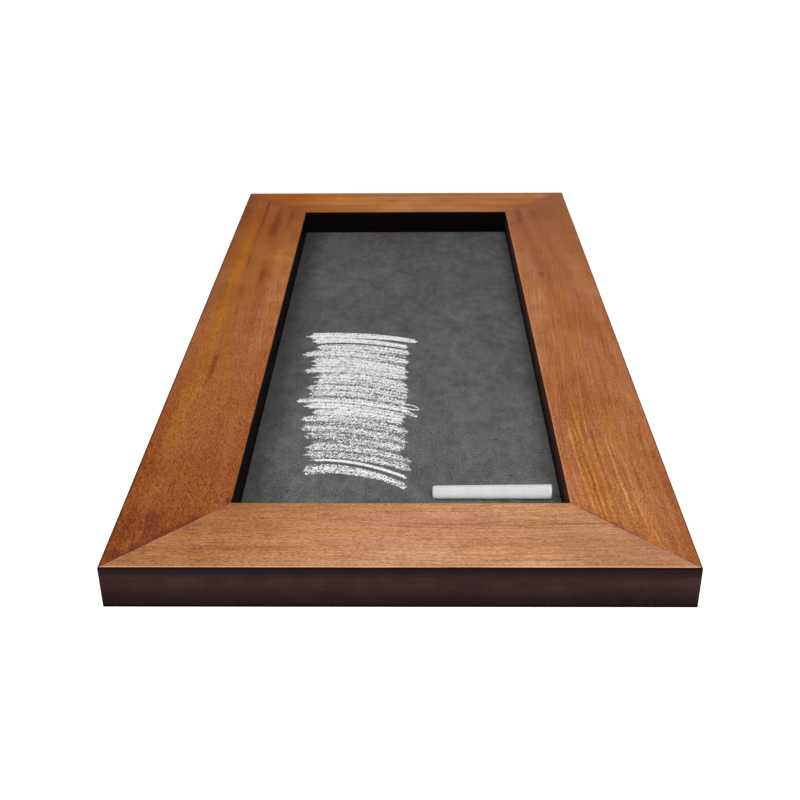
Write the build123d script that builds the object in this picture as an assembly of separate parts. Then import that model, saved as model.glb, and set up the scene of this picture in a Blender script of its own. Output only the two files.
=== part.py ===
from build123d import *
import math
import os

# Writing slate in a mitred wooden frame, lying on its back, with a stick of chalk on the slate.
# Millimetres. The origin is the middle of the frame's back: +X right, +Y to the far end, +Z up.

# Wooden rails, all of one section
frame_width = 300.0
frame_length = 600.0
rail_width = 58.5
rail_thickness = 24.5
ledge_width = 8.0  # how far a rail reaches over the panels behind it
face_arris_radius = 0.5  # long edges of the face
back_arris_radius = 0.3  # outer edge of the back
mitre_ease = 0.2  # width and depth taken off each rail's face along the mitre

# Slate and the board behind it
slate_thickness = 3.0
slate_bevel = 0.5
backing_thickness = 1.5
panel_clearance = 1.0  # from a panel's edge to the rebate wall

# Steel points that hold the panels in
point_thickness = 0.6
point_width = 6.0
point_bite = 7.5  # depth driven into the rail
point_taper = 4.0  # length of the pointed end
point_reach = 6.5  # how far it stands out of the rebate wall
point_corner_radius = 1.0
point_inset = 0.4  # from the frame's back
long_rail_point_count = 4
short_rail_point_count = 2

# V-shaped nails across the mitres
nail_height = 14.0
nail_leg = 8.0
nail_lip = 1.2
nail_thickness = 0.6
nail_inset = 0.5  # how far it is set below the frame's back
corner_nail_count = 2

# Chalk stick, tapered as moulded
chalk_length = 68.0
chalk_small_diameter = 7.6
chalk_large_diameter = 8.4
chalk_worn_end_radius = 1.6
chalk_moulded_end_radius = 0.5
chalk_side_clearance = 5.5  # from its large end to the right rail
chalk_front_clearance = 29.5  # from its side to the front rail
chalk_lift = 0.2  # from its underside to the slate

# Sizes that follow from those above
opening_width = frame_width - 2 * rail_width
opening_length = frame_length - 2 * rail_width
rebate_depth = slate_thickness + backing_thickness + point_thickness + point_inset
rebate_wall = rail_width - ledge_width
panel_margin = ledge_width - panel_clearance
panel_width = opening_width + 2 * panel_margin
panel_length = opening_length + 2 * panel_margin

# Each side of the frame: its rail's length, its place, and how many points hold the panels there.
# A rail is drawn along X with its outer edge on Y = 0 and its inner edge towards +Y.
sides = {
    "front": (frame_width, Pos(0, -frame_length / 2) * Rot(0, 0, 0), short_rail_point_count),
    "right": (frame_length, Pos(frame_width / 2, 0) * Rot(0, 0, 90), long_rail_point_count),
    "rear": (frame_width, Pos(0, frame_length / 2) * Rot(0, 0, 180), short_rail_point_count),
    "left": (frame_length, Pos(-frame_width / 2, 0) * Rot(0, 0, 270), long_rail_point_count),
}

# A corner is drawn with its outer point on the origin and the frame towards +X and +Y.
corners = {
    "front_left": Pos(-frame_width / 2, -frame_length / 2) * Rot(0, 0, 0),
    "front_right": Pos(frame_width / 2, -frame_length / 2) * Rot(0, 0, 90),
    "rear_right": Pos(frame_width / 2, frame_length / 2) * Rot(0, 0, 180),
    "rear_left": Pos(-frame_width / 2, frame_length / 2) * Rot(0, 0, 270),
}


def rail_section():
    """The rail's section: a flat board with a rebate in its inner back edge and eased arrises."""
    outline = Polyline(
        (0, 0),
        (rebate_wall, 0),
        (rebate_wall, rebate_depth),
        (rail_width, rebate_depth),
        (rail_width, rail_thickness),
        (0, rail_thickness),
        close=True,
    )
    section = make_face(outline)
    section = fillet(section.vertices().group_by(Axis.Y)[-1], face_arris_radius)
    back_corner = section.vertices().group_by(Axis.Y)[0].sort_by(Axis.X)[0]
    return fillet(back_corner, back_arris_radius)


def rail(length):
    """A rail along X, its ends cut at 45 degrees so that its inner edge is the shorter one."""
    across = Plane(origin=(0, 0, 0), x_dir=(0, 1, 0), z_dir=(1, 0, 0))
    stock = extrude(across * rail_section(), amount=length / 2, both=True)
    plan = Polyline(
        (-length / 2, 0),
        (length / 2, 0),
        (length / 2 - rail_width, rail_width),
        (rail_width - length / 2, rail_width),
        close=True,
    )
    return stock & extrude(make_face(plan), amount=rail_thickness)


def framing_point(along):
    """A flat steel point in the rail's own frame, its tapered end driven into the rebate wall."""
    half = point_width / 2
    tip = rebate_wall - point_bite
    shoulder = tip + point_taper
    end = rebate_wall + point_reach
    outline = Polyline((0, tip), (half, shoulder), (half, end), (-half, end), (-half, shoulder), close=True)
    blank = make_face(outline)
    blank = fillet(blank.vertices().group_by(Axis.Y)[-1], point_corner_radius)
    return Pos(along, 0, point_inset) * extrude(blank, amount=point_thickness)


def v_nail_plan(apex):
    """A V-shaped nail in plan, in the corner's own frame, bent on the mitre, each leg with a turned lip."""
    strip = Polyline(
        (apex - nail_leg, apex + nail_lip),
        (apex - nail_leg, apex),
        (apex, apex),
        (apex, apex - nail_leg),
        (apex + nail_lip, apex - nail_leg),
    )
    return trace(strip, nail_thickness)


def mitre_groove():
    """The fine V that two eased rails leave along their mitre, in the corner's own frame."""
    across = Plane(origin=(0, 0, rail_thickness), x_dir=(1, -1, 0), z_dir=(1, 1, 0))
    half = 2 * mitre_ease
    outline = Polyline((0, mitre_ease), (half, -mitre_ease), (-half, -mitre_ease), close=True)
    return extrude(across * make_face(outline), amount=rail_width * math.sqrt(2))


def panel(thickness, underside):
    """A flat panel that fills the rebate, its underside at the given height."""
    base = (Align.CENTER, Align.CENTER, Align.MIN)
    return Pos(0, 0, underside) * Box(panel_width, panel_length, thickness, align=base)


def chalk():
    """A tapered stick lying on its side along X, with its small end worn round by use."""
    small = chalk_small_diameter / 2
    large = chalk_large_diameter / 2
    outline = Polyline((0, 0), (0, small), (chalk_length, large), (chalk_length, 0), close=True)
    half_section = make_face(outline)
    worn = half_section.vertices().sort_by(Axis.X)[:2].sort_by(Axis.Y)[-1]
    half_section = fillet(worn, chalk_worn_end_radius)
    moulded = half_section.vertices().sort_by(Axis.X)[-2:].sort_by(Axis.Y)[-1]
    half_section = fillet(moulded, chalk_moulded_end_radius)
    stick = revolve(half_section, Axis.X)
    # Tilted by its taper, so that it lies along its underside.
    slope = math.degrees(math.atan2(large - small, chalk_length))
    stick = Rot(0, -slope, 0) * stick
    right_end = opening_width / 2 - chalk_side_clearance
    axis_y = chalk_front_clearance + large - opening_length / 2
    box = stick.bounding_box()
    return Pos(right_end - box.max.X, axis_y, rebate_depth + chalk_lift - box.min.Z) * stick


points = {}
rails = {}
for side, (length, place, count) in sides.items():
    pitch = (length - 2 * rail_width) / count
    rails[side] = place * rail(length)
    for index in range(count):
        along = (index + 0.5 - count / 2) * pitch
        points[f"framing_point_{side}_{index + 1}"] = place * framing_point(along)

nails = {}
slits = []
grooves = []
for corner, place in corners.items():
    grooves.append(place * mitre_groove())
    pitch = rebate_wall / (corner_nail_count + 1)
    for index in range(corner_nail_count):
        plan = v_nail_plan((index + 1) * pitch + nail_leg / 2)
        nail = Pos(0, 0, nail_inset) * extrude(plan, amount=nail_height)
        nails[f"v_nail_{corner}_{index + 1}"] = place * nail
        slits.append(place * extrude(plan, amount=nail_inset + nail_height))

# The points are driven into the rebate walls, and the nails into the back through slits that stay open.
driven = list(points.values()) + slits
nodes = {f"{side}_rail": wood - grooves - driven for side, wood in rails.items()}
slate = panel(slate_thickness, rebate_depth - slate_thickness)
nodes["slate_panel"] = chamfer(slate.edges().filter_by(Axis.Z, reverse=True), slate_bevel)
nodes["backing_board"] = panel(backing_thickness, point_inset + point_thickness)
nodes["chalk_stick"] = chalk()
nodes.update(points)
nodes.update(nails)

os.makedirs("parts", exist_ok=True)
for name, solid in nodes.items():
    export_step(solid, f"parts/{name}.step")
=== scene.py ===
import math
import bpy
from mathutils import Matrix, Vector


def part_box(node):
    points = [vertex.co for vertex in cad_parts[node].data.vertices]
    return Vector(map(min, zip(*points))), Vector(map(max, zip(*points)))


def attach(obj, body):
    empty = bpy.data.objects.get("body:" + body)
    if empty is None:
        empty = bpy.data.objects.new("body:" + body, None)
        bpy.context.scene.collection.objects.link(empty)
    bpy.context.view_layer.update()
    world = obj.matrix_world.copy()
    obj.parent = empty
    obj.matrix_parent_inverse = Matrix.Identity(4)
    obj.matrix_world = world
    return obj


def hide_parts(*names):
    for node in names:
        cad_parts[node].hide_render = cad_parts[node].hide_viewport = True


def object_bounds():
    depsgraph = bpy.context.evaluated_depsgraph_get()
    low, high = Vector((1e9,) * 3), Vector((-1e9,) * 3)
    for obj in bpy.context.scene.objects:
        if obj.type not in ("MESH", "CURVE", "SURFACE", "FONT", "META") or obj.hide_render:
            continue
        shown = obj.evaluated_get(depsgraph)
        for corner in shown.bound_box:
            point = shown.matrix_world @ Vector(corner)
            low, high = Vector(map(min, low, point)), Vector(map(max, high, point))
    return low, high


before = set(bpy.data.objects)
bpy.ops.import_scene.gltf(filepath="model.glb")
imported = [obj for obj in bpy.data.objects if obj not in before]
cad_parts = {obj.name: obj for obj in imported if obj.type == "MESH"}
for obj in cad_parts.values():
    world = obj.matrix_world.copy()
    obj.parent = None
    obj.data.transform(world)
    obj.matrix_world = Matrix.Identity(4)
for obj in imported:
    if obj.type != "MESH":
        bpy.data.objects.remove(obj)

from types import SimpleNamespace
import bpy
import numpy as np
from mathutils import Euler, Vector, noise

# Writing slate in a mitred wooden frame, with a stick of chalk and a block of chalk hatching.
# Metres, in the frame's own axes: +X right, +Y to the far end, +Z up.

# Sizes that come from the frame
cad_low, cad_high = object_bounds()
half_width = cad_high.x
half_length = cad_high.y
frame_top = cad_high.z
rail_low, rail_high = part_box("front_rail")
rail_width = rail_high.y - rail_low.y
slate_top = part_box("slate_panel")[1].z
chalk_low, chalk_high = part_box("chalk_stick")

MM = 0.001
TO_MM = 1000.0


def srgb(red, green, blue):
    """A colour given as it looks on screen, from 0 to 255, as the linear colour for shaders."""
    def linear(level):
        level = level / 255
        return level / 12.92 if level <= 0.04045 else ((level + 0.055) / 1.055) ** 2.4
    return (linear(red), linear(green), linear(blue), 1.0)


# Shader building

# The sockets that a Mix node has for colours
MIX_AMOUNT, MIX_FIRST, MIX_SECOND, MIX_RESULT = 0, 6, 7, 2


class Shader:
    """A material's node tree, with short calls for its nodes. Values are numbers or sockets."""

    def __init__(self, name):
        self.material = bpy.data.materials.new(name)
        self.material.use_nodes = True
        self.tree = self.material.node_tree
        self.tree.nodes.clear()
        self.surface = self.add("ShaderNodeBsdfPrincipled")
        output = self.add("ShaderNodeOutputMaterial")
        self.tree.links.new(self.surface.outputs[0], output.inputs["Surface"])

    def add(self, kind, **settings):
        node = self.tree.nodes.new(kind)
        for key, value in settings.items():
            setattr(node, key, value)
        return node

    def put(self, socket, value):
        if isinstance(value, bpy.types.NodeSocket):
            self.tree.links.new(value, socket)
        else:
            socket.default_value = value

    def finish(self, **inputs):
        """Sets the shader's own inputs, with underscores for spaces in their names."""
        for key, value in inputs.items():
            self.put(self.surface.inputs[key.replace("_", " ")], value)
        return self.material

    def place(self):
        """Object coordinates in millimetres, as x, y and z."""
        where = self.add("ShaderNodeTexCoord").outputs["Object"]
        scaled = self.add("ShaderNodeVectorMath", operation="SCALE")
        self.put(scaled.inputs[0], where)
        self.put(scaled.inputs["Scale"], TO_MM)
        split = self.add("ShaderNodeSeparateXYZ")
        self.put(split.inputs[0], scaled.outputs[0])
        return tuple(split.outputs)

    def math(self, operation, first, second=0.0):
        node = self.add("ShaderNodeMath", operation=operation)
        self.put(node.inputs[0], first)
        self.put(node.inputs[1], second)
        return node.outputs[0]

    def sum(self, *values):
        total = values[0]
        for value in values[1:]:
            total = self.math("ADD", total, value)
        return total

    def times(self, first, second):
        return self.math("MULTIPLY", first, second)

    def step(self, value, low, high, start=0.0, end=1.0):
        """A smooth change from start to end as value goes from low to high."""
        node = self.add("ShaderNodeMapRange", interpolation_type="SMOOTHSTEP", clamp=True)
        inputs = {"Value": value, "From Min": low, "From Max": high, "To Min": start, "To Max": end}
        for key, setting in inputs.items():
            self.put(node.inputs[key], setting)
        return node.outputs[0]

    def noise(self, where, lengths, seed, detail=2.0, roughness=0.5, distortion=0.0):
        """Smooth noise from 0 to 1, its features this long in millimetres along x, y and z."""
        joined = self.add("ShaderNodeCombineXYZ")
        for socket, value, length in zip(joined.inputs, where, lengths):
            self.put(socket, self.scaled(value, length, seed))
        node = self.add("ShaderNodeTexNoise", noise_dimensions="3D")
        self.put(node.inputs["Vector"], joined.outputs[0])
        self.put(node.inputs["Scale"], 1.0)
        self.put(node.inputs["Detail"], detail)
        self.put(node.inputs["Roughness"], roughness)
        self.put(node.inputs["Distortion"], distortion)
        return node.outputs[0]

    def scaled(self, value, length, seed):
        """A coordinate in units of a length, moved on by the seed."""
        node = self.add("ShaderNodeMath", operation="MULTIPLY_ADD")
        self.put(node.inputs[0], value)
        self.put(node.inputs[1], 1.0 / length)
        self.put(node.inputs[2], seed)
        return node.outputs[0]

    def spread(self, value, by=1.0):
        """A noise value as a difference from its middle, times a factor."""
        return self.times(self.math("SUBTRACT", value, 0.5), by)

    def mix(self, amount, first, second, blend="MIX"):
        node = self.add("ShaderNodeMix", data_type="RGBA", blend_type=blend, clamp_factor=True)
        self.put(node.inputs[MIX_AMOUNT], amount)
        self.put(node.inputs[MIX_FIRST], first)
        self.put(node.inputs[MIX_SECOND], second)
        return node.outputs[MIX_RESULT]

    def tinge(self, amount, colour, factors):
        """A colour times a factor for each channel, as far as the amount says."""
        return self.mix(amount, colour, factors, blend="MULTIPLY")

    def sway(self, value, reach, amount, colour, below, above):
        """A colour drawn towards one of two others as value goes from zero to reach, either way."""
        colour = self.mix(self.times(self.step(value, 0.0, reach), amount), colour, above)
        return self.mix(self.times(self.step(value, -reach, 0.0, 1.0, 0.0), amount), colour, below)

    def ramp(self, value, stops):
        """A colour ramp through (position, colour) stops."""
        node = self.add("ShaderNodeValToRGB")
        elements = node.color_ramp.elements
        while len(elements) < len(stops):
            elements.new(1.0)
        for element, (position, colour) in zip(elements, stops):
            element.position = position
            element.color = colour
        self.put(node.inputs[0], value)
        return node.outputs[0]

    def bump(self, height, depth, strength):
        """A normal from a height of 0 to 1 that stands for this depth in metres."""
        node = self.add("ShaderNodeBump")
        self.put(node.inputs["Height"], height)
        self.put(node.inputs["Distance"], depth)
        self.put(node.inputs["Strength"], strength)
        return node.outputs[0]


# Pieces

def mesh_object(name, points, faces, material, smooth=True):
    """A new piece of the scene, of one material."""
    mesh = bpy.data.meshes.new(name)
    mesh.from_pydata(points, [], faces)
    mesh.materials.append(material)
    mesh.polygons.foreach_set("use_smooth", [smooth] * len(mesh.polygons))
    mesh.update()
    piece = bpy.data.objects.new(name, mesh)
    bpy.context.scene.collection.objects.link(piece)
    return piece


def dress(node, material):
    """Gives a node of the frame this material alone."""
    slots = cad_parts[node].data.materials
    slots.clear()
    slots.append(material)


# Stained wood of the rails

FACE_EDGE = 0.15  # mm below the face where its stain ends and the dark edge begins
FACE_EDGE_BLUR = 0.05  # mm either way
MARKS_FADE = (-260, 200)  # mm along a rail, or front to rear, over which fine marks fade
BAND_FADE = 0.3  # share of a band's length over which each of its ends fades
EDGE_SHEEN = 0.06
DULL_SHEEN = 0.25  # share of the sheen that is left in dull places
WOOD_RELIEF = 0.05 * MM


def shades(red, green, blue):
    """The colours of one rail's face, around the middle tone of its stain."""
    def near(more_red, more_green, more_blue):
        levels = (red + more_red, green + more_green, blue + more_blue)
        return srgb(*(max(level, 2) for level in levels))
    return SimpleNamespace(
        middle=near(0, 0, 0),
        deep=near(-50, -50, -44),
        light=near(15, 16, 16),
        pale=near(36, 37, 36),
        dark=near(-52, -50, -46),
        golden=near(10, 6, -20),
        honey=near(22, 20, 12),
        rosy=near(3, -3, 10),
        dusk=near(-66, -50, -12),
        umber=near(-45, -45, -42),
        rust=near(-30, -38, -44),
        ashen=near(-8, 10, 24),
    )


def ratio(colour, base):
    """What each channel of the base is multiplied by to give the colour."""
    return tuple(part / whole for part, whole in zip(colour, base))


def rail_place(sh, runs_along_x, seed, slopes, turn):
    """Where a spot lies on its rail, in millimetres along it, inward and from the mitre."""
    x, y, z = sh.place()
    from_side = sh.math("SUBTRACT", half_width * TO_MM, sh.math("ABSOLUTE", x))
    from_end = sh.math("SUBTRACT", half_length * TO_MM, sh.math("ABSOLUTE", y))
    off_mitre = sh.math("ABSOLUTE", sh.math("SUBTRACT", from_side, from_end))
    run, across = (x, y) if runs_along_x else (y, x)
    # The grain runs slightly off the rail's own line and wanders a little.
    wander = sh.spread(sh.noise((run, across, z), (170, 70, 70), seed + 3.1, detail=1), 7.0)
    broad_slope, fibre_slope = slopes
    # Towards the front end the fibres turn aside.
    turned = sh.step(run, -450, -150, 0.0, turn)
    return SimpleNamespace(
        x=x, y=y, z=z, run=run, wander=wander,
        inward=sh.math("MINIMUM", from_side, from_end),
        mitre=sh.times(off_mitre, math.sqrt(0.5)),
        grain=(run, sh.sum(across, wander, sh.times(run, broad_slope)), z),
        fibres=(run, sh.sum(across, wander, sh.times(run, fibre_slope), turned), z),
    )


def wood_grain(sh, at, seed, fibre):
    """The unevenness of the wood at several sizes, each as a difference from zero."""
    def uneven(where, lengths, offset, detail, roughness):
        return sh.spread(sh.noise(where, lengths, seed + offset, detail, roughness))
    long, wide = fibre
    spot = (at.x, at.y, at.z)
    return SimpleNamespace(
        broad=uneven(at.grain, (300, 12, 12), 11.7, 2, 0.55),
        medium=uneven(at.fibres, (60, 1.8, 1.8), 23.3, 2, 0.6),
        hue=uneven(at.grain, (75, 7, 7), 31.9, 3, 0.6),
        streak=uneven(at.fibres, (17, 1.1, 1.1), 43.7, 2, 0.6),
        fibre=uneven(at.fibres, (long, wide, 0.6), 37.9, 2, 0.65),
        pore=uneven(at.fibres, (long * 1.6, wide * 1.1, 0.7), 51.3, 2, 0.6),
        blotch=uneven(spot, (52, 60, 52), 67.7, 3, 0.55),
        patch=uneven(spot, (14, 17, 14), 83.1, 3, 0.6),
    )


def wood_band(sh, at, wood, distance, lean, half, first, last):
    """How strongly a long streak shows, from its distance from the edge, its lean and its ends."""
    line = sh.sum(distance, sh.times(sh.math("SUBTRACT", at.run, first), lean / (last - first)))
    place = sh.sum(at.inward, sh.times(at.wander, 0.4), sh.times(wood.patch, 3.0))
    off = sh.math("ABSOLUTE", sh.math("SUBTRACT", place, line))
    fade = (last - first) * BAND_FADE
    begun = sh.step(at.run, first, first + fade)
    going_on = sh.step(at.run, last - fade, last, 1.0, 0.0)
    uneven = sh.sum(1.0, sh.times(wood.medium, 1.5), sh.times(wood.patch, 1.3))
    shown = sh.times(sh.times(begun, going_on), uneven)
    return sh.times(sh.step(off, half * 0.5, half, 1.0, 0.0), shown)


def wood_smudge(sh, at, wood, centre, half):
    """How strongly a soft stain shows, from its centre and half sizes."""
    sides = [sh.times(sh.math("SUBTRACT", value, middle), 1.0 / reach)
             for value, middle, reach in zip((at.x, at.y), centre, half)]
    away = sh.math("SQRT", sh.sum(*(sh.times(side, side) for side in sides)))
    away = sh.sum(away, sh.times(wood.patch, 1.6), sh.times(wood.medium, 0.8))
    return sh.step(away, 0.2, 1.1, 1.0, 0.0)


def wood_face(sh, at, wood, tone, looks):
    """The stained face: long streaks, warm and pinkish areas, smudges and fine dashes."""
    colours = shades(*looks["middle"])
    stops = (
        (0.0, colours.deep), (0.46, colours.middle), (0.64, colours.light), (1.0, colours.pale),
    )
    face = sh.ramp(tone, stops)
    face = sh.sway(wood.hue, 0.22, looks["tint"], face, colours.rosy, colours.golden)
    dashes = sh.step(at.run, *MARKS_FADE, *looks["dashes"])
    streaks = sh.times(dashes, looks["streaks"])
    face = sh.sway(wood.streak, 0.24, streaks, face, colours.umber, colours.light)
    face = sh.sway(wood.fibre, 0.24, sh.times(dashes, 0.8), face, colours.dark, colours.pale)
    face = sh.mix(sh.times(sh.step(wood.pore, 0.08, 0.22), dashes), face, colours.dark)
    for colour, *band, amount in looks["bands"]:
        shown = sh.times(wood_band(sh, at, wood, *band), amount)
        face = sh.tinge(shown, face, ratio(getattr(colours, colour), colours.middle))
    for colour, centre, half, amount in looks["smudges"]:
        shown = sh.times(wood_smudge(sh, at, wood, centre, half), amount)
        face = sh.tinge(shown, face, ratio(getattr(colours, colour), colours.middle))
    return wood_joints(sh, at, wood, face, colours.dusk, looks)


def wood_joints(sh, at, wood, face, stain, looks):
    """The face beside the mitres, with its gathered or wiped stain and the line of the joint."""
    # Stain gathers in patches beside the mitre, more so at the front.
    uneven = sh.sum(sh.times(wood.blotch, 0.6), wood.patch, sh.times(wood.fibre, 0.4))
    reach = sh.sum(at.mitre, sh.times(wood.patch, -16.0))
    soaked = sh.times(sh.step(reach, 0.2, 5.0, 1.0, 0.0), sh.step(uneven, -0.12, 0.10))
    front = looks["soaked_joint"]
    soaked = sh.times(soaked, sh.step(at.y, -150, 150, front, front * 0.2))
    face = sh.mix(soaked, face, stain)
    # At the rear the stain was wiped across the joints, so the rails' colours meet there.
    end_grade = sh.times(sh.step(at.mitre, 0.0, 9.0, 0.65, 0.0), sh.step(at.y, 100, 200))
    meeting = sh.mix(sh.step(at.x, -60, 60), srgb(146, 81, 37), srgb(160, 99, 60))
    face = sh.mix(end_grade, face, meeting)
    opened = sh.step(sh.sum(wood.patch, sh.times(wood.blotch, 0.5)), -0.12, 0.14, 0.1, 1.0)
    shown = sh.step(at.y, -120, 180, looks["joint"], 0.12)
    joint = sh.times(sh.step(at.mitre, 0.15, 0.6, 1.0, 0.0), shown)
    return sh.mix(sh.times(joint, opened), face, srgb(62, 30, 20))


def wood_edge(sh, at, wood, looks):
    """The outer edges and inner walls, stained near black with painted shade, and where dull."""
    top = frame_top * TO_MM
    inner = rail_width * TO_MM
    streak = sh.sum(
        sh.times(wood.broad, 0.8), sh.times(wood.medium, 0.6),
        wood.blotch, sh.times(wood.patch, 0.8),
    )
    edge = sh.mix(sh.step(streak, -0.3, 0.3), srgb(47, 31, 30), srgb(61, 42, 41))
    # The stain is deeper towards the back and just below the face.
    low = sh.step(sh.sum(at.z, sh.times(wood.blotch, 5.0)), 0.0, 17.0, 0.8, 0.0)
    edge = sh.mix(low, edge, srgb(24, 14, 14))
    high = sh.step(sh.sum(at.z, sh.times(wood.blotch, 4.0)), top - 7.0, top - 2.5, 0.0, 0.9)
    edge = sh.mix(high, edge, srgb(33, 24, 25))
    # Painted shade: a near-black line at the foot of the outer edge, by the floor.
    foot = sh.step(at.z, 0.3, 2.6, 1.0, 0.0)
    edge = sh.mix(foot, edge, srgb(8, 6, 6))
    # Painted shade: a dark line just below the face, under its arris.
    under_face = sh.step(sh.sum(at.z, sh.times(wood.medium, 0.5)), top - 1.7, top - 0.7)
    edge = sh.mix(under_face, edge, looks["line"])
    shaded = sh.math("MAXIMUM", under_face, foot)
    in_wall = sh.step(at.inward, inner - 3.0, inner - 1.0)
    # Painted shade: each inner wall darkens to near black at its foot, by the slate.
    height = sh.sum(at.z, sh.times(wood.medium, 8.0), sh.times(wood.patch, 10.0))
    lit = sh.step(height, slate_top * TO_MM + 2.0, top - 2.0)
    wall = sh.mix(lit, srgb(10, 5, 5), looks["wall"])
    return sh.mix(in_wall, edge, wall), sh.math("MAXIMUM", in_wall, shaded)


def wood_arrises(sh, at, wood, face, looks):
    """Face with arrises soaked dark or pale as a painted highlight, and where the outer one is."""
    inner = rail_width * TO_MM
    # Where an arris colour is pale it is a painted highlight, broken up like wear.
    arris_breaks = sh.step(sh.sum(wood.medium, wood.fibre), -0.4, -0.05)
    rubbed = looks["rubbed"]
    on_outer = sh.times(sh.step(at.inward, rubbed * 0.4, rubbed, 1.0, 0.0), arris_breaks)
    face = sh.mix(sh.times(on_outer, 0.8), face, looks["arris"])
    on_inner = sh.times(sh.step(at.inward, inner - 1.5, inner - 0.5), arris_breaks)
    return sh.mix(sh.times(on_inner, 0.6), face, looks["inner_arris"]), on_outer


def wood_reach(sh, at, wood, looks):
    """Where the face's own stain shows, from 0 to 1."""
    ragged = sh.sum(wood.fibre, wood.medium)
    lip = sh.sum(at.z, sh.times(ragged, 0.12))
    lowest = frame_top * TO_MM - FACE_EDGE
    on_face = sh.step(lip, lowest - FACE_EDGE_BLUR, lowest + FACE_EDGE_BLUR)
    # The stain of the inner wall creeps over its arris.
    creep = rail_width * TO_MM - looks["creep"]
    crept = sh.step(sh.sum(at.inward, sh.times(ragged, 1.2)), creep - 0.3, creep + 0.3)
    on_face = sh.times(on_face, sh.math("SUBTRACT", 1.0, crept))
    # The stain of the outer edge spills over in the same way.
    spill = looks["spill"]
    clear = sh.step(sh.sum(at.inward, sh.times(wood.medium, spill)), spill - 0.3, spill)
    return sh.times(on_face, clear)


def rail_wood(name, **looks):
    """One rail's wood: an orange-brown face with dashes and streaks, dark edges, a bare back."""
    sh = Shader(name)
    at = rail_place(sh, looks["runs_along_x"], looks["seed"], looks["slopes"], looks["turn"])
    wood = wood_grain(sh, at, looks["seed"], looks["fibre"])
    lines = sh.step(at.y, *MARKS_FADE, looks["lines"], looks["lines"] * 0.2)
    tone = sh.sum(
        0.5,
        sh.times(wood.broad, 0.55),
        sh.times(wood.medium, lines),
        sh.times(wood.blotch, 0.65),
        sh.times(wood.patch, 0.30),
    )
    face = wood_face(sh, at, wood, tone, looks)
    face, on_arris = wood_arrises(sh, at, wood, face, looks)
    edge, dull = wood_edge(sh, at, wood, looks)
    on_face = wood_reach(sh, at, wood, looks)
    colour = sh.mix(on_face, edge, face)
    # The back is bare wood, with stain that ran over from the edge.
    pale = sh.step(sh.sum(tone, wood.fibre), 0.1, 0.9)
    bare = sh.mix(pale, srgb(148, 108, 72), srgb(200, 160, 116))
    run_over = sh.step(sh.sum(at.inward, sh.times(wood.blotch, 14.0)), 4.0, 7.0)
    on_back = sh.times(sh.step(at.z, 0.05, 0.3, 1.0, 0.0), run_over)
    colour = sh.mix(on_back, colour, bare)
    rough = sh.sum(0.46, sh.times(wood.fibre, 0.25), sh.times(on_back, 0.25))
    relief = sh.sum(
        sh.times(wood.fibre, 0.9), sh.times(wood.pore, -0.6), sh.times(wood.medium, 0.5),
    )
    dull = sh.math("MAXIMUM", dull, on_arris)
    sheen = sh.step(on_face, 0.0, 1.0, EDGE_SHEEN, looks["sheen"])
    return sh.finish(
        Base_Color=colour, Roughness=rough, Normal=sh.bump(relief, WOOD_RELIEF, 0.5),
        Specular_IOR_Level=sh.times(sheen, sh.step(dull, 0.0, 1.0, 1.0, DULL_SHEEN)),
    )
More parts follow.
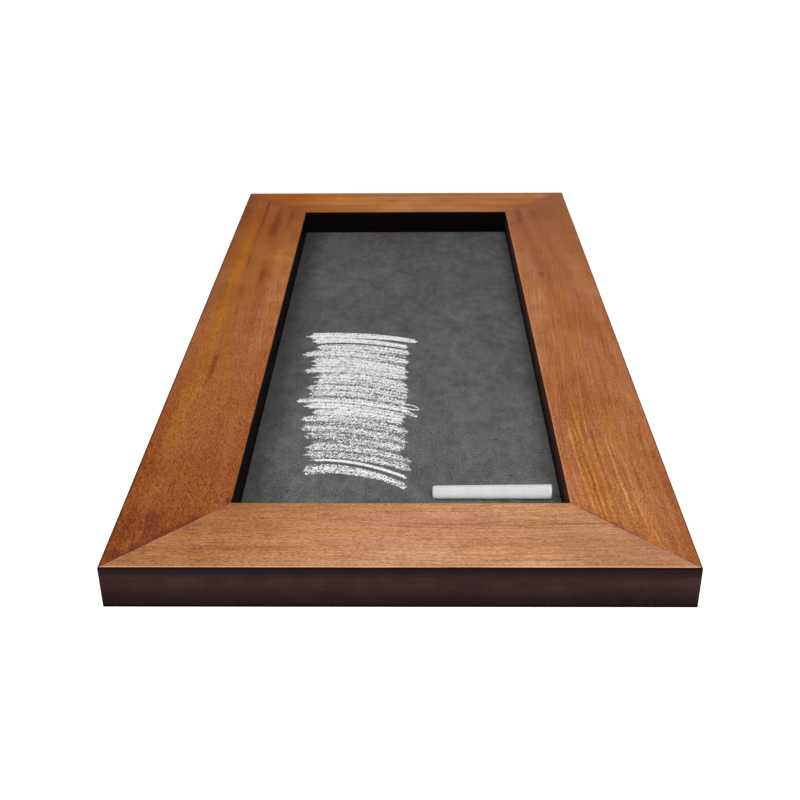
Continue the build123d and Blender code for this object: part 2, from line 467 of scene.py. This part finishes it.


# Each rail is its own piece of timber, so each has its own looks. Lengths are in millimetres.
# slopes, turn: how the broad grain and the fibres lean, and how far the fibres turn at the front
# fibre, dashes: length and width of the fine dashes, and how much they show at either end
# streaks, lines: how much the short and the long streaks show
# soaked_joint, joint: how much stain gathered at the mitres, and how much their line shows
# creep, spill: how far the stain of the inner wall and of the outer edge comes over the face
# middle, tint: the stain's middle colour, and how much its warm and pinkish areas show
# rubbed, arris, inner_arris: outer arris width, arris colours; pale ones are painted highlights
# line, wall: colours of the painted shade just below the face, and of the inner wall
# bands: colour, distance from the outer edge at the start, lean inward by the end, half width,
# start and end along the rail, and how much of it shows
# smudges: colour, centre, half sizes and how much of it shows
RAIL_LOOKS = {
    "front_rail": dict(
        runs_along_x=True, seed=4.0, slopes=(0.004, 0.004), turn=0.0, fibre=(1.7, 0.8),
        soaked_joint=0.2, joint=0.6, creep=0.2, spill=0.65,
        middle=(186, 131, 93), tint=0.6, dashes=(1.0, 0.65), streaks=0.9, lines=0.9,
        # The pale outer arris is a painted highlight.
        sheen=0.14, rubbed=1.7, arris=srgb(234, 184, 150), inner_arris=srgb(150, 92, 56),
        line=srgb(34, 13, 5), wall=srgb(16, 8, 8),
        bands=(
            ("umber", 30, 0, 80, -330, -20, 0.50), ("umber", 44, 0, 28, -200, -20, 0.24),
            ("golden", 20, 0, 60, -330, -10, 0.40), ("umber", 17, 0, 3, -130, -40, 0.30),
            ("golden", 28, 0, 1.6, -150, 10, 0.35), ("pale", 6, 0, 14, -40, 110, 0.28),
            ("light", 51, 0, 10, 0, 100, 0.60), ("umber", 28, 0, 18, 50, 110, 0.18),
            ("umber", 10, 0, 30, 60, 220, 0.25), ("dark", 38.5, 0, 1.1, -2, 50, 0.50),
            ("dark", 38.5, 0, 1.1, 70, 125, 0.50), ("umber", 6, 0, 14, -200, -70, 0.20),
        ),
        smudges=(("dusk", (114, -264), (4, 4), 0.5), ("rosy", (20, -262), (60, 10), 0.5)),
    ),
    "right_rail": dict(
        runs_along_x=False, seed=9.0, slopes=(0.06, -0.06), turn=32.0, fibre=(2.1, 0.55),
        soaked_joint=0.25, joint=0.65, creep=0.2, spill=0.0,
        middle=(171, 105, 60), tint=0.6, dashes=(0.88, 0.14), streaks=0.5, lines=1.2,
        # The pale inner arris is a painted highlight.
        sheen=0.08, rubbed=1.3, arris=srgb(104, 56, 30), inner_arris=srgb(206, 146, 108),
        # Painted light: this rail's inner wall colour is much lighter than the others'.
        line=srgb(70, 38, 22), wall=srgb(72, 41, 29),
        bands=(
            ("honey", 45, 6, 1.1, -280, -130, 0.75), ("honey", 42.5, 5, 0.9, -285, -130, 0.60),
            ("honey", 39.5, 5, 1.1, -290, -110, 0.75), ("honey", 35.5, 4, 0.9, -290, -130, 0.60),
            ("honey", 31.5, 4, 1.0, -295, -120, 0.65), ("honey", 25.5, 4, 0.9, -300, -160, 0.60),
            ("honey", 20, 4, 0.9, -305, -170, 0.55), ("honey", 51, 3, 0.8, -270, -150, 0.40),
            ("golden", 19, 2, 5, -310, -240, 0.25), ("golden", 40, 3, 9, -300, -100, 0.20),
            ("umber", 41.5, 5, 0.9, -280, -120, 0.28), ("umber", 33.5, 4, 1.0, -285, -120, 0.28),
            ("umber", 8, 0, 10, -330, -150, 0.20), ("umber", 1, 0, 5, -340, -150, 0.25),
            ("rosy", 53, 0, 4, -260, -60, 0.45), ("light", 51, 0, 10, -80, 210, 0.65),
            ("rust", 30, 0, 30, 130, 330, 0.28),
        ),
        smudges=(
            ("dusk", (103, 232), (4, 30), 0.45), ("pale", (108.5, 232), (1.2, 30), 0.25),
            ("dusk", (109, 88), (3.5, 9), 0.4), ("dusk", (112, -168), (12, 9), 0.3),
            ("dusk", (112, -262), (4, 4), 0.6),
        ),
    ),
    "rear_rail": dict(
        runs_along_x=True, seed=15.0, slopes=(0.0, 0.0), turn=0.0, fibre=(2.2, 0.9),
        soaked_joint=0.2, joint=0.2, creep=1.6, spill=0.0,
        middle=(187, 112, 52), tint=0.5, dashes=(0.25, 0.25), streaks=0.5, lines=0.5,
        sheen=0.05, rubbed=0.95, arris=srgb(120, 66, 34), inner_arris=srgb(120, 66, 34),
        line=srgb(70, 36, 18), wall=srgb(14, 7, 7),
        bands=(
            ("light", 30, 0, 22, -120, 110, 0.50), ("umber", 47, 0, 12, -150, -10, 0.50),
            ("umber", 47, 0, 12, 50, 150, 0.28), ("rust", 30, 0, 60, -240, -60, 0.76),
            ("golden", 24, 0, 60, -240, -10, 0.45), ("ashen", 8, 0, 16, -80, 240, 0.45),
            ("ashen", 48, 0, 10, -30, 90, 0.50), ("deep", 8, 0, 7, -170, 60, 0.20),
        ),
        smudges=(("deep", (-95, 284), (40, 10), 0.2), ("rosy", (60, 262), (50, 9), 0.4)),
    ),
    "left_rail": dict(
        runs_along_x=False, seed=21.0, slopes=(0.02, 0.07), turn=0.0, fibre=(2.3, 0.65),
        soaked_joint=0.7, joint=0.7, creep=0.2, spill=0.0,
        middle=(161, 94, 48), tint=0.5, dashes=(1.1, 0.3), streaks=0.4, lines=0.5,
        sheen=0.06, rubbed=1.6, arris=srgb(70, 34, 16), inner_arris=srgb(150, 88, 46),
        line=srgb(58, 28, 16), wall=srgb(18, 9, 8),
        bands=(
            ("umber", 2, 0, 9, -420, -40, 0.31), ("golden", 14.5, 0, 8, -260, 420, 0.50),
            ("golden", 15.5, 0, 5.0, -120, 640, 0.75), ("light", 51, 0, 12, -90, 230, 0.80),
            ("deep", 30, 0, 80, -420, -120, 0.36), ("golden", 36, 0, 40, 30, 420, 0.42),
            ("rust", 30, 0, 80, 190, 420, 0.36), ("rust", 30, 0, 80, 90, 500, 0.24),
            ("rust", 12, 0, 30, 60, 240, 0.15), ("rust", 21.4, 0, 1.8, 140, 420, 0.70),
        ),
        smudges=(
            ("rust", (-127.5, -82), (2.4, 30), 0.8), ("rust", (-128.5, 118), (1.8, 24), 0.6),
            ("rust", (-116, 213), (6, 46), 0.7), ("rust", (-104, 228), (4.5, 42), 0.65),
            ("rust", (-114, 92), (4, 32), 0.6), ("umber", (-122, -262), (24, 44), 0.32),
            ("dusk", (-141, -268), (9, 26), 0.22), ("dusk", (-130, -261), (6, 22), 0.5),
            ("dusk", (-144, -289), (6, 6), 0.5), ("dusk", (-93, -239), (2, 4), 0.7),
        ),
    ),
}


def dress_rails():
    for node, looks in RAIL_LOOKS.items():
        dress(node, rail_wood(node + "_wood", **looks))


# Slate

SLATE_RELIEF = 0.08 * MM


def slate_stone():
    """Honed slate: dark grey, mottled, pitted and grainy, with painted light and painted shade."""
    sh = Shader("slate_stone")
    where = sh.place()
    cloud = sh.spread(sh.noise(where, (34, 60, 40), 2.3, detail=2, roughness=0.55))
    blotch = sh.spread(sh.noise(where, (13, 24, 13), 33.7, detail=3, roughness=0.55))
    mottle = sh.spread(sh.noise(where, (5.5, 10.0, 5.5), 7.9, detail=2, roughness=0.5))
    grain = sh.spread(sh.noise(where, (1.1, 2.0, 1.1), 13.1, detail=1, roughness=0.5))
    # Painted light makes the front end lighter; painted shade darkens a strip by the left rail.
    end_grade = sh.step(sh.sum(where[1], sh.times(cloud, 120.0)), -260, 240, 0.16, -0.04)
    inside = (half_width - rail_width) * TO_MM
    # Painted shade: darker along the left rail, where its wall shades the slate.
    left_wall_shade = sh.step(sh.sum(where[0], sh.times(cloud, 14.0)), -inside, 26 - inside, -0.30, 0.0)
    coarse = sh.step(where[1], -230, 200, 1.3, 0.1)
    fine = sh.times(sh.times(grain, 0.9), coarse)
    tone = sh.sum(
        0.57, sh.times(cloud, 0.5), sh.times(blotch, 0.65), sh.times(mottle, 0.6),
        fine, end_grade, left_wall_shade,
    )
    stops = ((0.0, srgb(52, 52, 52)), (0.5, srgb(80, 80, 80)), (1.0, srgb(110, 111, 110)))
    colour = sh.ramp(tone, stops)
    # Faint warm and cool patches.
    tint = sh.spread(sh.noise(where, (24, 34, 30), 19.7, detail=2))
    colour = sh.sway(tint, 0.2, 0.22, colour, srgb(80, 86, 88), srgb(88, 84, 74))
    # Small dark pits and a few pale scratches.
    pit = sh.spread(sh.noise(where, (2.6, 4.6, 2.6), 29.3, detail=1))
    pits = sh.step(pit, 0.17, 0.27)
    colour = sh.mix(sh.times(pits, 0.5), colour, srgb(46, 46, 47))
    scratch = sh.spread(sh.noise(where, (1.1, 16, 1.1), 41.9, detail=2, distortion=0.4))
    colour = sh.mix(sh.times(sh.step(scratch, 0.22, 0.32), 0.25), colour, srgb(134, 136, 136))
    relief = sh.sum(sh.times(mottle, 0.6), sh.times(grain, 0.5), sh.times(pits, -0.4))
    rough = sh.sum(0.7, sh.times(grain, 0.3))
    return sh.finish(
        Base_Color=colour, Roughness=rough, Normal=sh.bump(relief, SLATE_RELIEF, 0.5),
        Specular_IOR_Level=0.12,
    )


# Board, nails and points behind the slate

HARDBOARD_RELIEF = 0.06 * MM
STEEL_RELIEF = 0.02 * MM


def hardboard():
    """Pressed fibre board, brown with darker fibres."""
    sh = Shader("hardboard_fibre")
    where = sh.place()
    cloud = sh.noise(where, (60, 60, 60), 3.7, detail=3)
    fibre = sh.noise(where, (2.2, 0.5, 1.0), 8.1, detail=4, roughness=0.7, distortion=1.5)
    tone = sh.sum(sh.times(cloud, 0.5), sh.times(fibre, 0.6))
    stops = ((0.3, srgb(86, 58, 38)), (0.55, srgb(122, 86, 58)), (0.8, srgb(150, 112, 78)))
    colour = sh.ramp(tone, stops)
    rough = sh.sum(0.6, sh.times(fibre, 0.25))
    return sh.finish(
        Base_Color=colour, Roughness=rough, Normal=sh.bump(fibre, HARDBOARD_RELIEF, 0.6),
        Specular_IOR_Level=0.3,
    )


def zinc_steel():
    """Bright zinc on thin steel, with rolling marks and dull spots."""
    sh = Shader("zinc_steel")
    where = sh.place()
    rolled = sh.noise(where, (6, 0.3, 2), 5.9, detail=3)
    spots = sh.noise(where, (2.5, 2.5, 2.5), 12.7, detail=3)
    colour = sh.mix(sh.step(spots, 0.4, 0.7), srgb(196, 198, 202), srgb(140, 142, 148))
    rough = sh.sum(0.24, sh.times(rolled, 0.16), sh.times(spots, 0.2))
    return sh.finish(
        Base_Color=colour, Metallic=1.0, Roughness=rough,
        Normal=sh.bump(rolled, STEEL_RELIEF, 0.4),
    )


def dress_back():
    steel = zinc_steel()
    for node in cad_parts:
        if node.startswith(("v_nail", "framing_point")):
            dress(node, steel)
    dress("backing_board", hardboard())
    dress("slate_panel", slate_stone())


# Chalk

CHALK_GREY = srgb(200, 197, 200)
CHALK_WHITE = srgb(213, 211, 212)
# White for the painted light on the chalk's underside and moulded rim.
CHALK_PAINTED_LIGHT = (0.96, 0.96, 0.96, 1.0)
CHALK_RELIEF = 0.06 * MM
CHALK_GLOW = 7.0 * MM  # how far light spreads below the chalk's surface


def chalk_powder():
    """Pressed chalk: matt, powdery and faintly uneven."""
    sh = Shader("chalk_powder")
    where = sh.place()
    cloud = sh.noise(where, (9, 6, 6), 6.1, detail=3)
    powder = sh.noise(where, (0.5, 0.5, 0.5), 14.3, detail=3, roughness=0.7)
    tone = sh.sum(sh.times(cloud, 0.6), sh.times(powder, 0.5))
    colour = sh.mix(sh.step(tone, 0.3, 0.75), CHALK_GREY, CHALK_WHITE)
    # Painted light whitens the shaded underside, and a painted highlight lies on the moulded rim.
    bottom, top, end = (value * TO_MM for value in (chalk_low.z, chalk_high.z, chalk_high.x))
    under = sh.step(where[2], bottom + 1.0, top - 1.5, 1.0, 0.0)
    colour = sh.mix(sh.times(under, 0.9), colour, CHALK_PAINTED_LIGHT)
    rim_highlight = sh.step(where[0], end - 1.8, end - 1.2)
    colour = sh.mix(sh.times(rim_highlight, 0.95), colour, CHALK_PAINTED_LIGHT)
    return sh.finish(
        Base_Color=colour, Roughness=0.9, Normal=sh.bump(powder, CHALK_RELIEF, 0.5),
        Specular_IOR_Level=0.2, Subsurface_Weight=1.0, Subsurface_Radius=(1.0, 1.0, 1.0),
        Subsurface_Scale=CHALK_GLOW,
    )


CHALK_SMALL_DIAMETER = 7.6 * MM
CHALK_WORN_END = 1.6 * MM
CHALK_MOULDED_END = 0.5 * MM
CHALK_ROUGHNESS = 0.05 * MM
CHALK_ROUGHNESS_SCALE = 700  # features in a metre
CHALK_FRACTAL = (0.8, 2.0, 4)  # how it falls off, its steps in scale and their number
CHALK_SIDES = 48
CHALK_RINGS = 60  # along the straight part
CHALK_ARC_STEP = 15  # degrees, on the rounded ends


def rounding(radius, angle):
    """How far a rounded edge lies from the end and from the side, at an angle of its quarter."""
    return radius * (1 - math.sin(angle)), radius * (1 - math.cos(angle))


def chalk_profile():
    """Points (along, radius) from the worn end to the moulded end, with both ends rounded."""
    length = chalk_high.x - chalk_low.x
    small = CHALK_SMALL_DIAMETER / 2
    large = (chalk_high.z - chalk_low.z) / 2
    quarter = [math.radians(degrees) for degrees in range(0, 91, CHALK_ARC_STEP)]
    profile = [(0.0, small * share) for share in (0.0, 0.35, 0.65)]
    for angle in reversed(quarter):
        from_end, from_side = rounding(CHALK_WORN_END, angle)
        profile.append((from_end, small - from_side))
    body = length - CHALK_WORN_END - CHALK_MOULDED_END
    for i in range(1, CHALK_RINGS):
        along = CHALK_WORN_END + body * i / CHALK_RINGS
        profile.append((along, small + (large - small) * along / length))
    for angle in quarter:
        from_end, from_side = rounding(CHALK_MOULDED_END, angle)
        profile.append((length - from_end, large - from_side))
    profile += [(length, large * share) for share in (0.7, 0.35, 0.0)]
    return profile


def chalk_stick():
    """The stick of chalk, lying on its side with a fine roughness all over."""
    profile = chalk_profile()
    small = CHALK_SMALL_DIAMETER / 2
    growth = (chalk_high.z - chalk_low.z - CHALK_SMALL_DIAMETER) / 2
    length = chalk_high.x - chalk_low.x
    centre_y = (chalk_low.y + chalk_high.y) / 2
    points = []
    for along, radius in profile:
        # The stick lies along its underside, so its axis rises with its radius.
        axis_z = chalk_low.z + small + growth * along / length
        for side in range(CHALK_SIDES):
            turn = 2 * math.pi * side / CHALK_SIDES
            spot = Vector((along, math.cos(turn) * radius, math.sin(turn) * radius))
            rough = noise.fractal(spot * CHALK_ROUGHNESS_SCALE, *CHALK_FRACTAL) * CHALK_ROUGHNESS
            reach = max(radius + min(rough, 0.0), 0.0)
            across, up = math.cos(turn) * reach, math.sin(turn) * reach
            points.append((chalk_low.x + along, centre_y + across, axis_z + up))
    faces = []
    for ring in range(len(profile) - 1):
        this, other = ring * CHALK_SIDES, (ring + 1) * CHALK_SIDES
        for side in range(CHALK_SIDES):
            after = (side + 1) % CHALK_SIDES
            faces.append((this + side, this + after, other + after, other + side))
    piece = mesh_object("chalk", points, faces, chalk_powder())
    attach(piece, "chalk")
    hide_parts("chalk_stick")


# Chalk hatching on the slate

HATCH_SEED = 11
HATCH_CELL = (0.42 * MM, 0.58 * MM)
HATCH_JITTER = 0.3  # share of a cell by which its corners are moved
HATCH_HEIGHT = 0.06 * MM
HATCH_THINNEST = 0.25  # share of that height where the film is thinnest
HATCH_X = (-82, 18)  # the area that is drawn on, in millimetres
HATCH_Y = (-206, 26)
# The left tip of each stroke, from the top one down, in millimetres
HATCH_TIPS = (
    (-73, 12), (-68, 3), (-66, -7), (-73, -19), (-67, -30), (-65, -36.5), (-70, -45),
    (-62, -55), (-62, -62), (-66, -71), (-64, -80), (-71, -90), (-66, -97), (-60, -106),
    (-67, -115), (-65, -127), (-63, -137), (-60, -151), (-60, -160), (-57, -166), (-59, -177.6),
)
HATCH_RIGHT = 3.0  # where the strokes turn at their right, on average
HATCH_RISE = (14.0, 4.5)  # how a stroke first climbs, at the top and at the bottom of the block
HATCH_FALL = (-22.5, -24.5)  # how it then drops
HATCH_HALF_WIDTH = 4.0
HATCH_NARROWING = 0.15
HATCH_PRESSURE = (0.80, 1.03)
HATCH_TIRING = 0.034  # what each stroke loses in pressure on the one before
HATCH_WOBBLE = 0.8  # unevenness of the climbs and drops
HATCH_END_WOBBLE = 1.2  # unevenness of the right ends
# Strokes drawn in another way, by number: half width, pressure, narrowing and how far each goes on
# at the right
HATCH_MARKED = {
    0: (5.8, 1.30, 0.38, 6), 1: (4.3, 1.90, 0.15, 0), 2: (4.4, 1.05, 0.10, 1),
    11: (3.1, 0.95, -0.15, 0), 12: (4.2, 0.95, 0.15, -2), 13: (4.2, 0.90, 0.15, -2),
    17: (4.0, 0.52, 0.10, 1), 18: (4.2, 0.56, 0.20, 4), 19: (1.6, 1.60, -0.20, 1),
    20: (6.2, 0.80, 0.42, 1),
}
HATCH_STREAKS = (5, 14)  # lines in a stroke, and pieces along each
HATCH_LEFT_POINT = (0.02, 0.11)  # share of its length over which a stroke begins
HATCH_RIGHT_POINT = (0.015, 0.05)  # and over which it ends
HATCH_SIDE = 0.16  # share of its half width over which its sides fade
HATCH_BOW = {20: 9.0}  # strokes that climb and drop more than their neighbours, by number
HATCH_RETURNS = range(2, 18)  # strokes after which the hand goes back to the left without lifting
HATCH_RETURN_PRESSURE = 0.55
HATCH_RETURN_TIRING = 0.020
HATCH_UNDER_HALF_WIDTH = 7.0  # dust rubbed in under a pair of strokes
HATCH_UNDER_PRESSURE = (0.42, 0.22)  # at the top and at the bottom of the block
HATCH_STRAND = 2.2  # from one fine line of the whole block to the next
HATCH_STRAND_PIECES = 6
HATCH_STRAND_DEPTH = 0.52
HATCH_BODY = 0.94
HATCH_GRAIN = 1.55
HATCH_SMEAR = 0.35  # how much a grain is like the one beside it
HATCH_CATCH = 1.6  # how readily the slate takes the chalk
# Loose loops at the turn of the hand: left end, right end and half height, in millimetres
HATCH_LOOPS = (((-1, -96), (10.5, -101), 2.8), ((-1, -103.5), (9.5, -111.5), 1.4))
HATCH_LOOP_LINE = 0.9


def bristles(rng, across, along, lines, pieces):
    """Streaks along a stroke: strong and weak lines by turns, each uneven along its length."""
    table = 0.5 * rng.random((lines, pieces))
    table[::2] += 0.5
    down = np.clip((across + 1) / 2, 0, 0.999) * (lines - 1)
    over = np.clip(along, 0, 0.999) * (pieces - 1)
    row = down.astype(int)
    column = np.broadcast_to(over.astype(int)[None, :], row.shape)
    low = down - row
    late = (over - over.astype(int))[None, :]
    upper = table[row, column] * (1 - late) + table[row, column + 1] * late
    lower = table[row + 1, column] * (1 - late) + table[row + 1, column + 1] * late
    return upper * (1 - low) + lower * low


def hatch_strokes(rng):
    """Each stroke out and back: its tips, rise, fall, half width, pressure and narrowing."""
    strokes = []
    first, last = HATCH_TIPS[0][1], HATCH_TIPS[-1][1]
    for number, (left, start) in enumerate(HATCH_TIPS):
        width = HATCH_HALF_WIDTH * rng.uniform(0.9, 1.1)
        usual_pressure = rng.uniform(*HATCH_PRESSURE) - HATCH_TIRING * number
        usual = (width, usual_pressure, HATCH_NARROWING, 0)
        half, pressure, narrowing, further = HATCH_MARKED.get(number, usual)
        right = HATCH_RIGHT + further + rng.normal(0, HATCH_END_WOBBLE)
        share = (first - start) / (first - last)
        bow = HATCH_BOW.get(number, 0.0)
        rise = np.interp(share, (0, 1), HATCH_RISE) + rng.normal(0, HATCH_WOBBLE) + bow
        fall = np.interp(share, (0, 1), HATCH_FALL) + rng.normal(0, HATCH_WOBBLE) - bow
        strokes.append((left, start, right, rise, fall, half, pressure, narrowing))
        if number in HATCH_RETURNS:
            after, below = HATCH_TIPS[number + 1]
            back = HATCH_RETURN_PRESSURE * rng.uniform(0.75, 1.25) - HATCH_RETURN_TIRING * number
            strokes.append((after, below, right, start + rise - below, fall, half, back, 0.0))
            inset = rng.uniform(1, 4)
            tip = max(left, after) + inset
            rubbed = np.interp(share, (0, 1), HATCH_UNDER_PRESSURE)
            under = (HATCH_UNDER_HALF_WIDTH, rubbed, 0.0)
            strokes.append((tip, (start + below) / 2, right - inset, rise, fall, *under))
    return strokes


def stroke_cover(rng, xs, ys, stroke):
    """How much chalk one stroke leaves at each spot, from 0 to 1."""
    left, start, right, rise, fall, half, pressure, narrowing = stroke
    along = (xs - left) / (right - left)
    middle = start + rise * along + fall * along ** 2
    narrowed = half * (1 - narrowing * np.clip(along, 0, 1))
    across = (ys[:, None] - middle[None, :]) / narrowed[None, :]
    streaks = bristles(rng, across, along, *HATCH_STREAKS)
    # The stroke runs out in a ragged point at both ends.
    from_left = along / rng.uniform(*HATCH_LEFT_POINT)
    from_right = (1 - along) / rng.uniform(*HATCH_RIGHT_POINT)
    inside = np.minimum(from_left, from_right)[None, :]
    touch = np.clip((inside + 0.8 * streaks - 0.4 - 0.9 * np.abs(across)) / 0.25, 0, 1)
    body = np.clip((1 - np.abs(across)) / HATCH_SIDE, 0, 1)
    return np.clip(pressure * body * touch * (0.45 + 0.6 * streaks), 0, 1)


def loop_cover(xs, ys, loop):
    """How much chalk one loose loop leaves at each spot, from 0 to 1."""
    (x0, y0), (x1, y1), high = loop
    along = (xs - x0) / (x1 - x0)
    belly = high * np.sqrt(np.clip(1 - (2 * along - 1) ** 2, 0, 1))
    off = ys[:, None] - (y0 + (y1 - y0) * along)[None, :]
    line = np.abs(np.abs(off) - belly[None, :]) / HATCH_LOOP_LINE
    return np.clip((1 - line) / 0.3, 0, 1) * ((along > 0) & (along < 1))[None, :]


def hatch_cover(rng, xs, ys):
    """How much chalk lies at each spot, from 0 to 1, after all the strokes."""
    bare = np.ones((len(ys), len(xs)))
    for stroke in hatch_strokes(rng):
        bare *= 1 - stroke_cover(rng, xs, ys, stroke)
    for loop in HATCH_LOOPS:
        bare *= 1 - loop_cover(xs, ys, loop)
    # Fine lines run through the whole block, bent like its strokes.
    along = (xs - HATCH_TIPS[0][0]) / (HATCH_RIGHT - HATCH_TIPS[0][0])
    bend = np.mean(HATCH_RISE) * along + np.mean(HATCH_FALL) * along ** 2
    height = (ys[:, None] - bend[None, :] - ys[0]) / np.ptp(ys) * 2 - 1
    lines = int(np.ptp(ys) / HATCH_STRAND)
    strands = bristles(rng, height, along, lines, HATCH_STRAND_PIECES)
    return (1 - bare) * (1 + HATCH_STRAND_DEPTH * (2 * strands - 1))


def hatch_film():
    """The grid of spots, with the chalk's thickness at each and whether any lies there."""
    rng = np.random.default_rng(HATCH_SEED)
    xs = np.arange(HATCH_X[0] * MM, HATCH_X[1] * MM, HATCH_CELL[0])
    ys = np.arange(HATCH_Y[0] * MM, HATCH_Y[1] * MM, HATCH_CELL[1])
    cover = hatch_cover(rng, xs * TO_MM, ys * TO_MM)
    fine = rng.random(cover.shape)
    fine = fine + HATCH_SMEAR * np.roll(fine, 1, axis=1)
    grain = (np.argsort(np.argsort(fine, axis=None)) / fine.size).reshape(cover.shape)
    thick = np.clip(HATCH_BODY * cover + HATCH_GRAIN * (grain - 0.5), 0, 1)
    return xs, ys, thick, cover * HATCH_CATCH > 1 - grain


def chalk_hatching():
    """A block of slanting strokes: a film of chalk, thick and thin, on the grain of the slate."""
    xs, ys, thick, present = hatch_film()
    rows, columns = np.nonzero(present[:-1, :-1])
    wide = len(xs)
    first = rows * wide + columns
    corners = np.stack([first, first + 1, first + wide + 1, first + wide], axis=1)
    used, faces = np.unique(corners, return_inverse=True)
    faces = faces.reshape(corners.shape)
    depth = thick.ravel()[used]
    rng = np.random.default_rng(HATCH_SEED + 1)
    shift = rng.uniform(-HATCH_JITTER, HATCH_JITTER, (len(used), 2)) * np.array(HATCH_CELL)
    heights = slate_top + HATCH_HEIGHT * (HATCH_THINNEST + (1 - HATCH_THINNEST) * depth)
    points = np.stack([xs[used % wide], ys[used // wide], heights], axis=1)
    points[:, :2] += shift
    material = chalk_mark_powder()
    piece = mesh_object("chalk_hatching", points.tolist(), faces.tolist(), material, smooth=False)
    piece.data.attributes.new("thick", "FLOAT", "POINT").data.foreach_set("value", depth)
    # One flat layout of the whole block, with equal scale both ways.
    span = max(np.ptp(points[:, 0]), np.ptp(points[:, 1]))
    flat = (points[:, :2] - points[:, :2].min(axis=0)) / span
    layout = piece.data.uv_layers.new(name="OFBake")
    layout.data.foreach_set("uv", flat[faces.ravel()].ravel())
    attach(piece, "board")


MARK_GREY = srgb(118, 118, 118)
MARK_WHITE = (0.97, 0.97, 0.97, 1.0)
MARK_RELIEF = 0.04 * MM


def chalk_mark_powder():
    """Chalk rubbed on the slate: grey where it is thin and white where it is thick."""
    sh = Shader("chalk_mark_powder")
    thick = sh.add("ShaderNodeAttribute", attribute_name="thick").outputs["Fac"]
    powder = sh.noise(sh.place(), (0.7, 0.7, 0.7), 9.7, detail=2)
    amount = sh.sum(thick, sh.spread(powder, 0.2))
    colour = sh.mix(sh.step(amount, 0.0, 1.0), MARK_GREY, MARK_WHITE)
    return sh.finish(
        Base_Color=colour, Roughness=0.92, Normal=sh.bump(powder, MARK_RELIEF, 0.4),
        Specular_IOR_Level=0.1,
    )


# Floor, light and camera

FLOOR_DROP = 0.2 * MM
FLOOR_SIZE = 6.0
FLOOR_COLOUR = (0.82, 0.82, 0.82, 1.0)
FLOOR_GLOW = (0.62, 1.0)  # what is added for the camera, near the object and far from it
FLOOR_FADE = (330, 900)  # mm from the middle of the object, from the one to the other
WORLD_LIGHT = 0.264  # on the object
WORLD_SEEN = 1.0  # by the camera and in reflections
# Softboxes, in metres and watts
KEY_LIGHT = dict(place=(-0.95, -0.5, 1.25), target=(0.0, -0.05, 0.0), size=0.9, power=9.0)
FRONT_LIGHT = dict(place=(0.3, -1.35, 1.0), target=(0.0, -0.15, 0.0), size=0.6, power=19.0)


def seen_directly(tree):
    """One for what the camera or a reflection shows, and zero for what only lights the object."""
    path = tree.nodes.new("ShaderNodeLightPath")
    seen = path.outputs["Is Camera Ray"]
    for kind in ("Is Glossy Ray", "Is Transmission Ray"):
        either = tree.nodes.new("ShaderNodeMath")
        either.operation = "MAXIMUM"
        tree.links.new(seen, either.inputs[0])
        tree.links.new(path.outputs[kind], either.inputs[1])
        seen = either.outputs[0]
    return seen


def floor():
    """A pale floor that looks white to the camera and still takes the object's soft shadow."""
    sh = Shader("floor_white")
    material = sh.finish(Base_Color=FLOOR_COLOUR, Roughness=0.9, Specular_IOR_Level=0.0)
    # Far from the object the floor fades into the white surroundings.
    x, y, _ = sh.place()
    away = sh.math("SQRT", sh.sum(sh.times(x, x), sh.times(y, y)))
    strength = sh.times(seen_directly(sh.tree), sh.step(away, *FLOOR_FADE, *FLOOR_GLOW))
    glow = sh.add("ShaderNodeEmission")
    sh.put(glow.inputs["Strength"], strength)
    both = sh.add("ShaderNodeAddShader")
    sh.put(both.inputs[0], sh.surface.outputs[0])
    sh.put(both.inputs[1], glow.outputs[0])
    output = next(node for node in sh.tree.nodes if node.type == "OUTPUT_MATERIAL")
    sh.put(output.inputs["Surface"], both.outputs[0])
    corners = ((-1, -1), (1, -1), (1, 1), (-1, 1))
    points = [(FLOOR_SIZE * right, FLOOR_SIZE * far, -FLOOR_DROP) for right, far in corners]
    mesh_object("floor", points, [(0, 1, 2, 3)], material)


def surroundings():
    """White surroundings for the camera and reflections, and a softer light on the object."""
    world = bpy.data.worlds.new("studio")
    bpy.context.scene.world = world
    world.use_nodes = True
    tree = world.node_tree
    tree.nodes.clear()
    level = tree.nodes.new("ShaderNodeMapRange")
    tree.links.new(seen_directly(tree), level.inputs["Value"])
    level.inputs["To Min"].default_value = WORLD_LIGHT
    level.inputs["To Max"].default_value = WORLD_SEEN
    sky = tree.nodes.new("ShaderNodeBackground")
    sky.inputs["Color"].default_value = (1.0, 1.0, 1.0, 1.0)
    tree.links.new(level.outputs[0], sky.inputs["Strength"])
    output = tree.nodes.new("ShaderNodeOutputWorld")
    tree.links.new(sky.outputs[0], output.inputs["Surface"])


def softbox(name, place, target, size, power):
    """A square soft light at a place, turned towards its target."""
    lamp = bpy.data.lights.new(name, "AREA")
    lamp.shape = "SQUARE"
    lamp.size = size
    lamp.energy = power
    piece = bpy.data.objects.new(name, lamp)
    piece.location = place
    piece.rotation_euler = (Vector(target) - Vector(place)).to_track_quat("-Z", "Y").to_euler()
    bpy.context.scene.collection.objects.link(piece)


CAMERA_PLACE = Vector((7.434, -752.242, 360.272)) * MM
CAMERA_TURN = (61.8843, 0.3878, 0.597)  # degrees
CAMERA_LENS = 50.70  # mm, as is the sensor
CAMERA_SENSOR = 36.0


def camera():
    """The camera, which sees the board from above its front end."""
    lens = bpy.data.cameras.new("camera")
    lens.sensor_width = CAMERA_SENSOR
    lens.lens = CAMERA_LENS
    piece = bpy.data.objects.new("camera", lens)
    piece.location = CAMERA_PLACE
    piece.rotation_euler = Euler([math.radians(angle) for angle in CAMERA_TURN])
    bpy.context.scene.collection.objects.link(piece)
    bpy.context.scene.camera = piece


dress_rails()
dress_back()
chalk_stick()
chalk_hatching()
floor()
surroundings()
softbox("key_light", **KEY_LIGHT)
softbox("front_light", **FRONT_LIGHT)
camera()
bpy.context.scene.view_settings.view_transform = "Standard"
